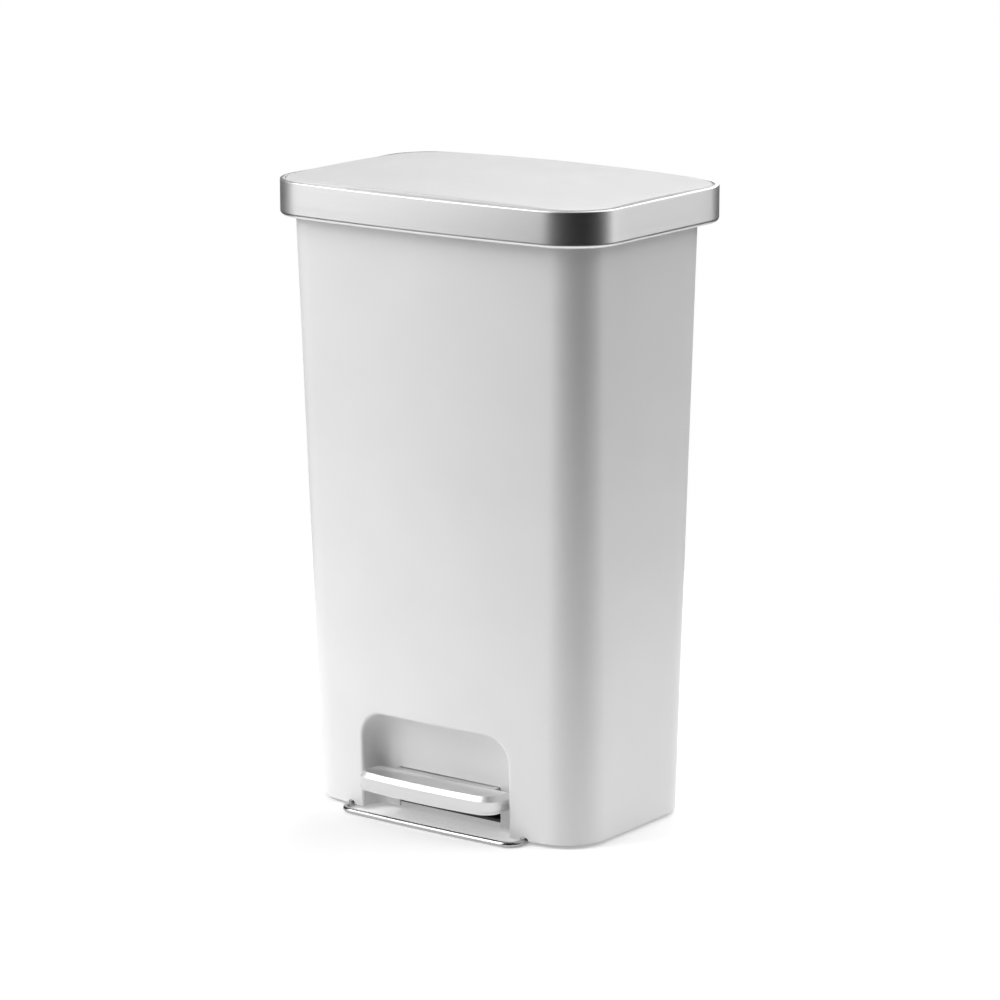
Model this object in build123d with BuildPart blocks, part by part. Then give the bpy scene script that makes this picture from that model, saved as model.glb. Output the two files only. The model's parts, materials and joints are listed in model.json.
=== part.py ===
from build123d import *
from math import asin, cos, degrees, radians, sin
import os

# A free-standing pedal bin. Millimetres, X to the right, Y to the back, Z up, with the
# origin on the floor under the middle of the lid's plan outline.
# A plan outline is (width, front y, back y, front radius, back radius, bow of the front).

# ---------- Driving dimensions ----------
wall = 2.8                      # moulded wall thickness
gap = 0.4                       # ordinary gap between neighbouring parts
running = 0.06                  # radial clearance of a part that turns or slides on a pin
over = 1.0                      # how far a cutting shape runs past the surface it cuts

body_low = (348.0, -110.4, 104.9, 48.0, 46.0, 10.0)
body_high = (372.0, -122.5, 112.8, 40.0, 40.0, 6.0)
body_low_z = 4.0
body_high_z = 612.0
body_top = 636.0
floor_z = 58.0                  # underside of the inner floor
flange = (392.0, -132.5, 113.3, 50.0, 50.0, 6.0)
flange_z = 620.0

lid = (404.0, -138.5, 137.7, 56.0, 54.0, 6.0)
lid_low = 613.3                 # lower edge of the steel band
lid_high = 650.0                # upper edge of the steel band
lid_back = 138.5                # rear face of the plastic rear cover
lid_liner_low = 641.5
lid_liner_high = 644.0
crown_height = 656.6            # highest point of the crowned panel
crown_radius_x = 4130.0         # crown radius across the width
crown_radius_y = 3250.0         # crown radius from front to back
crown_swing = 3.0               # half of the arc swept from front to back, in degrees
lid_angle = 80.0                # opening angle of the lid

hinge_y = 127.0                 # lid hinge axis, parallel to X
hinge_z = 625.0
hinge_x = 70.0                  # middle of each hinge
hinge_boss = 6.5
hinge_pin_radius = 2.5

crank_radius = 24.0
crank_dip = 40.0                # the crank starts this far below level and ends as far above
crank_y = hinge_y - crank_radius * cos(radians(crank_dip))
crank_z = hinge_z - crank_radius * sin(radians(crank_dip))
rod_travel = 2 * crank_radius * sin(radians(crank_dip))

rod_y = 95.0
rod_radius = 4.0
rod_low = 13.6
rod_high = 596.0

axle_y = -45.0                  # pedal axle, parallel to X
axle_z = 33.0
axle_radius = 3.0
lever_reach = rod_y - axle_y
lever_angle = 2 * degrees(asin(rod_travel / 2 / lever_reach))
lever_pin_z = axle_z - rod_travel / 2
pin_radius = 2.5

recess_half = 92.0              # foot recess in the front of the body
recess_top = 107.0
recess_back = -81.0
recess_corner = 27.0
recess_fillet = 18.0
recess_lip = 4.0
slot_half = 64.5
slot_top = 46.5

base_low = 8.0
base_high = 11.0
wire_radius = 3.0
wire_leg_x = 110.0

screw_radius = 1.6
screw_head = 3.2
screw_head_height = 1.6

os.makedirs("parts", exist_ok=True)


# ---------- Shared shapes ----------
def inset(outline, step):
    """Move a plan outline inwards by one step."""
    width, front, back, front_radius, back_radius, bow = outline
    return (width - 2 * step, front + step, back - step, front_radius - step, back_radius - step, bow)


def body_outline(z):
    """The tapered body's plan outline at height z."""
    share = (z - body_low_z) / (body_high_z - body_low_z)
    return tuple(low + share * (high - low) for low, high in zip(body_low, body_high))


def front_lines(width, front, front_radius, bow):
    """Right half of a bowed front and its corner, in the line being built. Returns the corner."""
    reach = width / 2 - front_radius
    inner_radius = (reach**2 + bow**2) / (2 * bow)
    sweep_angle = degrees(asin(reach / inner_radius))
    bowed = JernArc((0, front), (1, 0), inner_radius + front_radius, sweep_angle)
    return JernArc(bowed @ 1, bowed % 1, front_radius, 90 - sweep_angle)


def draw_outline(width, front, back, front_radius, back_radius, bow):
    """Fill a plan outline in the sketch being built."""
    with BuildLine() as outline:
        corner = front_lines(width, front, front_radius, bow)
        side = Line(corner @ 1, (width / 2, back - back_radius))
        rear_corner = JernArc(side @ 1, (0, 1), back_radius, 90)
        Line(rear_corner @ 1, (0, back))
        mirror(about=Plane.YZ)
    make_face(outline.edges())


def prism(outline, low, high, mode=Mode.ADD):
    """Extrude a plan outline between two heights, in the part being built."""
    with BuildSketch(Plane.XY.offset(low)) as section:
        draw_outline(*outline)
    extrude(section.sketch, high - low, mode=mode)


def tapered_prism(low, high, step=0.0, mode=Mode.ADD):
    """Loft the tapered body between two heights, in the part being built."""
    sections = []
    for z in (low, high):
        with BuildSketch(Plane.XY.offset(z)) as section:
            draw_outline(*inset(body_outline(z), step))
        sections.append(section.sketch)
    loft(sections, ruled=True, mode=mode)


def box_between(low, high, mode=Mode.ADD):
    """A box given by two opposite corners, in the part being built."""
    size = [b - a for a, b in zip(low, high)]
    with Locations(tuple((a + b) / 2 for a, b in zip(low, high))):
        Box(*size, mode=mode)


def post(x, y, low, high, radius, mode=Mode.ADD):
    """An upright cylinder, in the part being built."""
    with Locations((x, y, (low + high) / 2)):
        Cylinder(radius, high - low, mode=mode)


def cross_bar(y, z, left, right, radius, mode=Mode.ADD):
    """A cylinder parallel to X, in the part being built."""
    with Locations(((left + right) / 2, y, z)):
        Cylinder(radius, right - left, rotation=(0, 90, 0), mode=mode)


def side_plate(points, left, right, mode=Mode.ADD):
    """Extrude a (y, z) polygon from one x to another, in the part being built."""
    with BuildSketch(Plane.YZ.offset(left)) as profile:
        with BuildLine() as edge:
            Polyline(*points, close=True)
        make_face(edge.edges())
    extrude(profile.sketch, right - left, mode=mode)


def round_bar(x, z, front, back, radius, mode=Mode.ADD):
    """A cylinder parallel to Y, in the part being built."""
    with Locations((x, (front + back) / 2, z)):
        Cylinder(radius, back - front, rotation=(90, 0, 0), mode=mode)


def keep(part, label):
    """Label one finished sub-part and write its STEP file."""
    part.label = label
    export_step(part, "parts/" + label + ".step")


# ---------- Body shell ----------
def recess_form(grow):
    """The foot recess as a solid, enlarged all round by one wall thickness or none."""
    below = 6.0                 # the form runs this far under the floor
    depth = 70.0                # and this far forwards of its rear wall
    height = recess_top + grow + below
    with BuildPart() as form:
        with BuildSketch(Plane.XZ.offset(-recess_back - grow)) as arch:
            with Locations((0, -below)):
                Rectangle(2 * (recess_half + grow), height, align=(Align.CENTER, Align.MIN))
            fillet(arch.vertices().group_by(Axis.Y)[-1], recess_corner + grow)
        extrude(amount=depth)
        rear_edges = form.faces().sort_by(Axis.Y)[-1].edges().sort_by(Axis.Z)[1:]
        fillet(rear_edges, recess_fillet + grow)
    return form.part


with BuildPart() as recess_housing:
    tapered_prism(body_low_z, recess_top + recess_corner, wall / 2)
    add(recess_form(wall), mode=Mode.INTERSECT)

boss_radius = 4.5
boss_hole = 1.7
base_screw_places = [(x, y) for x in (-146.0, 146.0) for y in (-68.0, 6.0, 78.0)]
rod_hole = 6.5
notch_half = 16.0
notch_low = 596.0
notch_front = 97.0
wire_notch = 5.0
boss_hole_end = floor_z - 10.0
slot_front = recess_back - 4.0
slot_back = recess_back + 8.0
wire_notch_front = -125.0
wire_notch_back = -85.0

with BuildPart() as body_shell:
    tapered_prism(body_low_z, body_top)
    prism(flange, flange_z, body_top)
    tapered_prism(floor_z + wall, body_top + wall, wall, Mode.SUBTRACT)
    tapered_prism(body_low_z - wall, floor_z, wall, Mode.SUBTRACT)
    add(recess_housing.part)
    add(recess_form(0.0), mode=Mode.SUBTRACT)
    lip_edges = body_shell.edges().filter_by(Axis.Y, reverse=True).filter_by(
        lambda edge: edge.center().Y < recess_back - recess_fillet - recess_lip
        and abs(edge.center().X) < recess_half + over
        and edge.center().Z < recess_top + over
        and edge.bounding_box().size.length > recess_lip
    )
    fillet(lip_edges, recess_lip)
    box_between((-slot_half, slot_front, -over), (slot_half, slot_back, slot_top), Mode.SUBTRACT)
    for side in (-1, 1):
        notch_x = side * wire_leg_x
        round_bar(notch_x, wire_radius, wire_notch_front, wire_notch_back, wire_notch, Mode.SUBTRACT)
    for x, y in base_screw_places:
        post(x, y, base_high, floor_z + wall / 2, boss_radius)
        post(x, y, base_high - over, boss_hole_end, boss_hole, Mode.SUBTRACT)
    post(0, rod_y, floor_z - over, floor_z + wall + over, rod_hole, Mode.SUBTRACT)
    notch_corner = (notch_half, body_high[2] + wall, body_top + over)
    box_between((-notch_half, notch_front, notch_low), notch_corner, Mode.SUBTRACT)
keep(body_shell.part, "body_shell")

# ---------- Underside: base plate, feet and anti-tip bar ----------
base_clear = wall + gap
recess_clear = recess_half + wall + gap
leg_end_y = -40.0
leg_end_z = 16.0
leg_bend = 5.0
wire_front = (2 * wire_leg_x, -124.7, 15.0, 1.7)
foot_radius = 11.0
foot_stem = 5.5
foot_edge = 1.0
base_screw_length = 23.0
retainer_radius = 6.0
retainer_height = 2.5
foot_places = [(x, y) for x in (-138.0, 138.0) for y in (-44.0, 56.0)]

with BuildPart() as base_plate:
    prism(inset(body_outline(base_low), base_clear), base_low, base_high)
    recess_front = (-recess_clear, body_high[1], base_low - over)
    box_between(recess_front, (recess_clear, recess_back + wall + gap, base_high + over), Mode.SUBTRACT)
    for x, y in base_screw_places:
        post(x, y, base_low - over, base_high + over, screw_radius, Mode.SUBTRACT)
    for side in (-1, 1):
        post(side * wire_leg_x, leg_end_y, base_low - over, base_high + over, wire_radius, Mode.SUBTRACT)
    for x, y in foot_places:
        post(x, y, base_low - over, base_high + over, foot_stem, Mode.SUBTRACT)
keep(base_plate.part, "base_plate")

with BuildPart() as rubber_feet:
    for x, y in foot_places:
        post(x, y, 0, base_low, foot_radius)
    fillet(rubber_feet.edges().group_by(Axis.Z)[0], foot_edge)
    for x, y in foot_places:
        post(x, y, base_low, base_high + foot_edge, foot_stem)
keep(rubber_feet.part, "rubber_feet")

with BuildPart() as base_screws:
    for x, y in base_screw_places:
        post(x, y, base_low - screw_head_height, base_low, screw_head)
        post(x, y, base_low, base_low + base_screw_length, screw_radius)
keep(base_screws.part, "base_screws")

with BuildPart() as anti_tip_bar:
    with BuildLine(Plane.XY.offset(wire_radius)) as floor_run:
        corner = front_lines(*wire_front)
        Line(corner @ 1, (wire_leg_x, leg_end_y - leg_bend))
        mirror(about=Plane.YZ)
    leg_start = Vector(wire_leg_x, leg_end_y - leg_bend, wire_radius)
    legs = []
    for side in (-1, 1):
        foot = Vector(side * leg_start.X, leg_start.Y, leg_start.Z)
        with BuildLine() as leg:
            bend = TangentArc(foot, foot + Vector(0, leg_bend, leg_bend), tangent=(0, 1, 0))
            Line(bend @ 1, (side * wire_leg_x, leg_end_y, leg_end_z))
        legs.append(leg.wire())
    path = Wire(floor_run.edges() + legs[0].edges() + legs[1].edges())
    with BuildSketch(Plane(path @ 0, z_dir=path % 0)):
        Circle(wire_radius)
    sweep(path=path)
keep(anti_tip_bar.part, "anti_tip_bar")

with BuildPart() as bar_retainers:
    for side in (-1, 1):
        leg_x = side * wire_leg_x
        retainer_high = base_high + retainer_height
        post(leg_x, leg_end_y, base_high, retainer_high, retainer_radius)
        post(leg_x, leg_end_y, base_high - over, retainer_high + over, wire_radius, Mode.SUBTRACT)
keep(bar_retainers.part, "bar_retainers")

# ---------- Pedal ----------
pedal_plan = (174.0, -133.7, -86.0, 19.0, 8.0, 3.5)
pedal_neck_half = 63.4
pedal_neck_end = -60.0
pedal_low = 30.8
pedal_front_top = 50.0
pedal_neck_top = 44.4
pedal_chamfer = 5.0
chamfer_share = 2 - 2**0.5      # a chamfer's leg shrinks by this share of the sheet inside it
pedal_sheet = 1.0
pedal_lip = 4.0
hem_low = 33.0                  # a thin groove above the rolled lower hem of the pedal
hem_high = 33.7
hem_depth = 0.5
pedal_front = -140.0            # where the sloped top is measured, just in front of the pedal
pedal_slope = (pedal_front_top - pedal_neck_top) / (pedal_neck_end - pedal_front)
neck_start = pedal_plan[2] - pedal_lip
neck_start_top = pedal_neck_top + pedal_slope * (pedal_neck_end - neck_start)


def pedal_form(shrink, low):
    """The pedal's outer shape, shrunk by a step: a bowed plate with a neck behind it."""
    with BuildPart() as form:
        prism(inset(pedal_plan, shrink), low, pedal_front_top + pedal_chamfer)
        top_plane = [
            (pedal_front, pedal_front_top - shrink),
            (pedal_neck_end, pedal_neck_top - shrink),
            (pedal_neck_end, pedal_front_top + 2 * pedal_chamfer),
            (pedal_front, pedal_front_top + 2 * pedal_chamfer),
        ]
        side_plate(top_plane, -pedal_plan[0], pedal_plan[0], Mode.SUBTRACT)
        chamfer(form.faces().sort_by(Axis.Z)[-1].edges(), pedal_chamfer - shrink * chamfer_share)
        neck = pedal_neck_half - shrink
        neck_points = [
            (neck_start, low),
            (pedal_neck_end - shrink, low),
            (pedal_neck_end - shrink, pedal_neck_top - shrink),
            (neck_start, neck_start_top - shrink),
        ]
        side_plate(neck_points, -neck, neck)
    return form.part


with BuildPart() as pedal_cover:
    add(pedal_form(0.0, pedal_low))
    add(pedal_form(pedal_sheet, pedal_low + pedal_sheet), mode=Mode.SUBTRACT)
    opening = inset(pedal_plan, pedal_sheet + pedal_lip)
    prism(opening, pedal_low - over, pedal_low + 2 * pedal_sheet, Mode.SUBTRACT)
    neck_inside = pedal_neck_half - pedal_sheet
    neck_low = (-neck_inside, neck_start - pedal_lip, pedal_low - over)
    neck_high = (neck_inside, pedal_neck_end + over, pedal_low + 2 * pedal_sheet)
    box_between(neck_low, neck_high, Mode.SUBTRACT)
    with BuildPart(mode=Mode.PRIVATE) as hem:
        prism(inset(pedal_plan, -hem_depth), hem_low, hem_high)
        prism(inset(pedal_plan, hem_depth), hem_low - over, hem_high + over, Mode.SUBTRACT)
    add(hem.part, mode=Mode.SUBTRACT)
    open_end = (-neck_inside, pedal_neck_end - 2 * pedal_sheet, pedal_low - over)
    open_end_high = (neck_inside, pedal_neck_end + over, pedal_neck_top - pedal_sheet)
    box_between(open_end, open_end_high, Mode.SUBTRACT)
keep(pedal_cover.part, "pedal_cover")

core_low = 37.0
plate_low = 34.0
plate_half = 56.0
plate_front = -124.0
plate_back = -62.0
lever_half = 12.0
lever_sheet = 2.0
plate_corner = 6.0
rivet_head_height = 1.2
rivet_places = [(x, y) for x in (-44.0, 44.0) for y in (-114.0, -74.0)]

with BuildPart() as pedal_core:
    add(pedal_form(pedal_sheet + running, core_low))
keep(pedal_core.part, "pedal_core")

with BuildPart() as lever_plate:
    box_between((-plate_half, plate_front, plate_low), (plate_half, plate_back, core_low))
    fillet(lever_plate.edges().filter_by(Axis.Z), plate_corner)
    for x, y in rivet_places:
        post(x, y, plate_low - over, core_low + over, screw_radius, Mode.SUBTRACT)
keep(lever_plate.part, "lever_plate")

with BuildPart() as pedal_rivets:
    for x, y in rivet_places:
        post(x, y, plate_low - rivet_head_height, plate_low, screw_head)
        post(x, y, plate_low, core_low, screw_radius)
keep(pedal_rivets.part, "pedal_rivets")

bush_radius = 5.0
bush_flange = 1.2
bush_rim = 0.8
lever_front = -118.0
lever_hump_front = axle_y - 6.0
lever_hump_back = axle_y + 8.0
lever_tail = rod_y + 6.0
web_end = rod_y - 8.0           # the lever's top web stops here, clear of the rod
slot_play = 1.6                 # the rod's pin slides this far along the lever
pin_play = 0.3
lever_side = [
    (lever_front, plate_low),
    (lever_front, plate_low - 1.4),
    (neck_start + 6.0, 29.5),
    (pedal_neck_end, 26.0),
    (axle_y, axle_z - 8.0),
    (rod_y + 5.0, lever_pin_z - 4.8),
    (lever_tail, lever_pin_z + 4.0),
    (lever_hump_back, axle_z + 6.5),
    (lever_hump_front, axle_z + 7.5),
    (plate_back, plate_low),
]
lever_hollow = [
    (lever_front - over, plate_low - lever_sheet),
    (lever_front - over, base_high),
    (lever_tail + over, 0.0),
    (lever_tail + over, axle_z),
    (web_end, axle_z),
    (web_end, lever_pin_z + 3.0),
    (lever_hump_back, axle_z + 6.5 - lever_sheet),
    (lever_hump_front, axle_z + 7.5 - lever_sheet),
    (plate_back, plate_low - lever_sheet),
]
with BuildPart() as pedal_lever:
    side_plate(lever_side, -lever_half, lever_half)
    side_plate(lever_hollow, lever_sheet - lever_half, lever_half - lever_sheet, Mode.SUBTRACT)
    cross_bar(axle_y, axle_z, -lever_half - over, lever_half + over, bush_radius, Mode.SUBTRACT)
    slot_y = pin_radius + slot_play
    slot_z = pin_radius + pin_play
    box_between(
        (-lever_half - over, rod_y - slot_y, lever_pin_z - slot_z),
        (lever_half + over, rod_y + slot_y, lever_pin_z + slot_z),
        Mode.SUBTRACT,
    )
keep(pedal_lever.part, "pedal_lever")

with BuildPart() as lever_bushes:
    for side in (-1, 1):
        inner, outer = sorted((side * (lever_half - lever_sheet - bush_rim), side * lever_half))
        cross_bar(axle_y, axle_z, inner, outer, bush_radius)
        inner, outer = sorted((side * lever_half, side * (lever_half + bush_rim)))
        cross_bar(axle_y, axle_z, inner, outer, bush_radius + bush_flange)
    bore = axle_radius + running
    cross_bar(axle_y, axle_z, -2 * lever_half, 2 * lever_half, bore, Mode.SUBTRACT)
keep(lever_bushes.part, "lever_bushes")

# ---------- Pedal axle and its brackets, on the base plate ----------
bracket_x = lever_half + 1.4
bracket_sheet = 3.0
bracket_foot = 14.0
bracket_half = 9.0
bracket_foot_high = base_high + 2.5
bracket_screw_inset = 5.0
axle_end = bracket_x + bracket_sheet + 2.0

with BuildPart() as pedal_axle:
    cross_bar(axle_y, axle_z, -axle_end, axle_end, axle_radius)
    chamfer(pedal_axle.edges().filter_by(GeomType.CIRCLE), 0.5)
keep(pedal_axle.part, "pedal_axle")

bracket_screw_places = []
for side, name in ((-1, "axle_bracket_left"), (1, "axle_bracket_right")):
    inner, outer = sorted((side * bracket_x, side * (bracket_x + bracket_sheet)))
    foot_in, foot_out = sorted((side * bracket_x, side * (bracket_x + bracket_foot)))
    screw_x = side * (bracket_x + bracket_foot - bracket_screw_inset)
    screws = [(screw_x, axle_y - bracket_screw_inset), (screw_x, axle_y + bracket_screw_inset)]
    bracket_screw_places += screws
    foot_corner = (foot_in, axle_y - bracket_half, base_high)
    with BuildPart() as axle_bracket:
        box_between((inner, axle_y - bracket_half, base_high), (outer, axle_y + bracket_half, axle_z))
        cross_bar(axle_y, axle_z, inner, outer, bracket_half)
        box_between(foot_corner, (foot_out, axle_y + bracket_half, bracket_foot_high))
        cross_bar(axle_y, axle_z, inner - over, outer + over, axle_radius, Mode.SUBTRACT)
        for x, y in screws:
            post(x, y, base_high - over, bracket_foot_high + over, screw_radius, Mode.SUBTRACT)
    keep(axle_bracket.part, name)

with BuildPart() as bracket_screws:
    for x, y in bracket_screw_places:
        post(x, y, base_high, bracket_foot_high, screw_radius)
        post(x, y, bracket_foot_high, bracket_foot_high + screw_head_height, screw_head)
keep(bracket_screws.part, "bracket_screws")

pad_half = 16.0
pad_front = 64.0
pad_back = 76.0
pad_height = 3.4

with BuildPart() as lever_rest_pad:
    box_between((-pad_half, pad_front, base_high), (pad_half, pad_back, base_high + pad_height))
keep(lever_rest_pad.part, "lever_rest_pad")

# ---------- Push rod ----------
eye_half = 2.0
eye_mid = hinge_y - crank_radius * (1 + cos(radians(crank_dip))) / 2
eye_slot_half = crank_radius * (1 - cos(radians(crank_dip))) / 2 + pin_radius + 0.8
eye_slot_rise = pin_radius + 0.9
eye_wall = 3.2
socket_radius = rod_radius + 2.0
socket_depth = 12.0
socket_cap = 3.0

with BuildPart() as push_rod:
    post(0, rod_y, rod_low, rod_high, rod_radius)
    chamfer(push_rod.edges().filter_by(GeomType.CIRCLE), 0.6)
    cross_bar(rod_y, lever_pin_z, -rod_radius - over, rod_radius + over, pin_radius, Mode.SUBTRACT)
keep(push_rod.part, "push_rod")

with BuildPart() as rod_pin:
    cross_bar(rod_y, lever_pin_z, -lever_half - 1.5, lever_half + 1.5, pin_radius)
keep(rod_pin.part, "rod_pin")

with BuildPart() as rod_eye:
    post(0, rod_y, rod_high - socket_depth, rod_high + socket_cap, socket_radius)
    box_between(
        (-eye_half, rod_y - rod_radius - over, rod_high + over),
        (eye_half, eye_mid + eye_slot_half + eye_wall, crank_z + eye_slot_rise + eye_wall),
    )
    post(0, rod_y, rod_high - socket_depth - over, rod_high, rod_radius, Mode.SUBTRACT)
    box_between(
        (-eye_half - over, eye_mid - eye_slot_half, crank_z - eye_slot_rise),
        (eye_half + over, eye_mid + eye_slot_half, crank_z + eye_slot_rise),
        Mode.SUBTRACT,
    )
keep(rod_eye.part, "rod_eye")

# ---------- Soft-close damper beside the rod ----------
damper_x = 22.0
damper_radius = 8.0
damper_bore = 6.0
damper_low = 330.0
damper_high = 436.0
cap = 4.0
piston_z = 392.0
piston_height = 5.0
piston_rod = 2.5
arm_z = 448.0
arm_high = 453.0
arm_margin = 6.0
arm_corner = 3.0

with BuildPart() as damper_cylinder:
    post(damper_x, rod_y, damper_low, damper_high, damper_radius)
    post(damper_x, rod_y, damper_low + cap, damper_high - cap, damper_bore, Mode.SUBTRACT)
    seal = piston_rod + running
    post(damper_x, rod_y, damper_high - cap - over, damper_high + over, seal, Mode.SUBTRACT)
keep(damper_cylinder.part, "damper_cylinder")

with BuildPart() as damper_piston:
    post(damper_x, rod_y, piston_z, piston_z + piston_height, damper_bore - running)
    post(damper_x, rod_y, piston_z, arm_high, piston_rod)
keep(damper_piston.part, "damper_piston")

with BuildPart() as damper_arm:
    arm_corner_low = (-rod_radius - arm_corner, rod_y - arm_margin, arm_z)
    box_between(arm_corner_low, (damper_x + arm_margin, rod_y + arm_margin, arm_high))
    fillet(damper_arm.edges().filter_by(Axis.Z), arm_corner)
    post(0, rod_y, arm_z - over, arm_high + over, rod_radius, Mode.SUBTRACT)
    post(damper_x, rod_y, arm_z - over, arm_high + over, piston_rod, Mode.SUBTRACT)
keep(damper_arm.part, "damper_arm")


def on_back_wall(low, high):
    """A block between two corners, cut to stand against the inside of the rear wall."""
    with BuildPart() as block:
        box_between(low, high)
        with BuildPart(mode=Mode.PRIVATE) as inside:
            tapered_prism(floor_z, body_top, wall)
        add(inside.part, mode=Mode.INTERSECT)
    return block.part


clamp_half = 10.0
clamp_low = 345.0
clamp_high = 357.0
guide_half = 9.0
guide_low = 558.0
guide_high = 570.0
guide_flange = 3.0
past_wall = body_high[2] + wall     # behind the rear wall, where a block is cut by it

with BuildPart() as damper_clamp:
    clamp_front = rod_y - damper_radius - damper_bore / 4
    clamp_corner = (damper_x - clamp_half, clamp_front, clamp_low)
    add(on_back_wall(clamp_corner, (damper_x + clamp_half, past_wall, clamp_high)))
    post(damper_x, rod_y, clamp_low - over, clamp_high + over, damper_radius, Mode.SUBTRACT)
keep(damper_clamp.part, "damper_clamp")

with BuildPart() as rod_guide_upper:
    guide_corner = (-guide_half, rod_y - 2 * rod_radius, guide_low)
    add(on_back_wall(guide_corner, (guide_half, past_wall, guide_high)))
    post(0, rod_y, guide_low - over, guide_high + over, rod_radius + running, Mode.SUBTRACT)
keep(rod_guide_upper.part, "rod_guide_upper")

with BuildPart() as rod_guide_lower:
    post(0, rod_y, floor_z, floor_z + wall, rod_hole)
    flange_low = floor_z + wall
    post(0, rod_y, flange_low, flange_low + guide_flange, rod_hole + over)
    post(0, rod_y, floor_z - over, flange_low + guide_flange + over, rod_radius + running, Mode.SUBTRACT)
keep(rod_guide_lower.part, "rod_guide_lower")

channel_half = 36.5
channel_front = 81.5
channel_wall = 2.5
channel_top = 628.0
channel_corner = 2.0

with BuildPart() as channel_cover:
    channel_low = (-channel_half, channel_front, floor_z + wall)
    add(on_back_wall(channel_low, (channel_half, past_wall, channel_top)))
    box_between(
        (channel_wall - channel_half, channel_front + channel_wall, floor_z),
        (channel_half - channel_wall, past_wall, channel_top + over),
        Mode.SUBTRACT,
    )
    fillet(channel_cover.edges().filter_by(Axis.Z).group_by(Axis.Y)[0], channel_corner)
keep(channel_cover.part, "channel_cover")

# ---------- Liner rim and bumpers on the top of the body ----------
rim_edge = 1.5
rim_outline = inset(flange, rim_edge)
rim_low = body_top + 0.2
rim_high = 639.8
tongue_low = 606.0
tongue_sheet = 2.2
bumper_stem = 2.0
bumper_radius = 4.5
bumper_high = lid_liner_low - 0.3
bumper_places = [(x, y) for x in (-187.0, 187.0) for y in (-62.0, 58.0)]

with BuildPart() as liner_rim:
    prism(rim_outline, rim_low, rim_high)
    fillet(liner_rim.edges().group_by(Axis.Z)[-1], rim_edge)
    tapered_prism(tongue_low, rim_high, wall + gap)
    tapered_prism(tongue_low - over, rim_high + over, wall + gap + tongue_sheet, Mode.SUBTRACT)
    rim_back = past_wall + 2 * gap
    channel_notch = (-channel_half - gap, channel_front - gap, tongue_low - over)
    box_between(channel_notch, (channel_half + gap, rim_back, channel_top + over), Mode.SUBTRACT)
    crank_notch = (-notch_half, channel_front + channel_wall + rim_edge, tongue_low)
    box_between(crank_notch, (notch_half, rim_back, rim_high + over), Mode.SUBTRACT)
    for x, y in bumper_places:
        post(x, y, rim_low - over, rim_high + over, bumper_stem, Mode.SUBTRACT)
keep(liner_rim.part, "liner_rim")

with BuildPart() as lid_bumpers:
    for x, y in bumper_places:
        post(x, y, rim_low, rim_high, bumper_stem)
        post(x, y, rim_high, bumper_high, bumper_radius)
keep(lid_bumpers.part, "lid_bumpers")

# ---------- Hinges ----------
hinge_low = 598.0
hinge_high = 633.0
hinge_back = 115.8
hinge_plate_half = 12.0
lug_half = 6.0
lug_gap = 0.5
lug_sheet = 5.0
lug_front = hinge_back - over
lug_rise = 8.0
pin_end = 1.5
hinge_screw_x = 7.0
hinge_screw_z = 602.0
hinge_screw_front = 113.0
hinge_screws_at = []

for side, name in ((-1, "hinge_bracket_left"), (1, "hinge_bracket_right")):
    x = side * hinge_x
    screws = [(x - hinge_screw_x, hinge_screw_z), (x + hinge_screw_x, hinge_screw_z)]
    hinge_screws_at += screws
    lug = [
        (lug_front, hinge_z - lug_rise),
        (hinge_y, hinge_z - hinge_boss + running),
        (hinge_y, hinge_z + hinge_boss - running),
        (lug_front, hinge_z + lug_rise),
    ]
    with BuildPart() as hinge_bracket:
        plate_corner_low = (x - hinge_plate_half, body_low[2], hinge_low)
        box_between(plate_corner_low, (x + hinge_plate_half, hinge_back, hinge_high))
        side_plate(lug, x - lug_half, x + lug_half)
        cross_bar(hinge_y, hinge_z, x - lug_half, x + lug_half, hinge_boss)
        tapered_prism(floor_z, body_top + over, 0.0, Mode.SUBTRACT)
        prism(flange, flange_z, body_top + over, Mode.SUBTRACT)
        cross_bar(hinge_y, hinge_z, x - 2 * lug_half, x + 2 * lug_half, hinge_pin_radius, Mode.SUBTRACT)
        for screw_x, screw_z in screws:
            round_bar(screw_x, screw_z, body_low[2], hinge_back + over, screw_radius, Mode.SUBTRACT)
    keep(hinge_bracket.part, name)
    with BuildPart() as hinge_pin:
        reach = lug_half + lug_gap + lug_sheet + pin_end
        cross_bar(hinge_y, hinge_z, x - reach, x + reach, hinge_pin_radius)
        chamfer(hinge_pin.edges().filter_by(GeomType.CIRCLE), 0.4)
    keep(hinge_pin.part, name.replace("bracket", "pin"))

with BuildPart() as hinge_screws:
    for x, z in hinge_screws_at:
        round_bar(x, z, hinge_screw_front, hinge_back, screw_radius)
        round_bar(x, z, hinge_back, hinge_back + screw_head_height, screw_head)
keep(hinge_screws.part, "hinge_screws")

# ---------- Lid ----------
band_sheet = 1.2
band_lip = 4.6
band_curl = 5.5
band_edge = 4.5
rear_half = 112.0
rear_gap = 0.3
band_top_edge = 1.0
beyond_lid = 145.0              # a Y behind everything on the lid
lid_inner = (400.4, -136.7, 134.2, 54.2, 52.0, 6.0)
flange_top = lid_high - band_sheet - 0.1
panel_gap = 1.2
panel_shoulder = 2.6
panel_back = 131.4
panel_wall = 2.8

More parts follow.
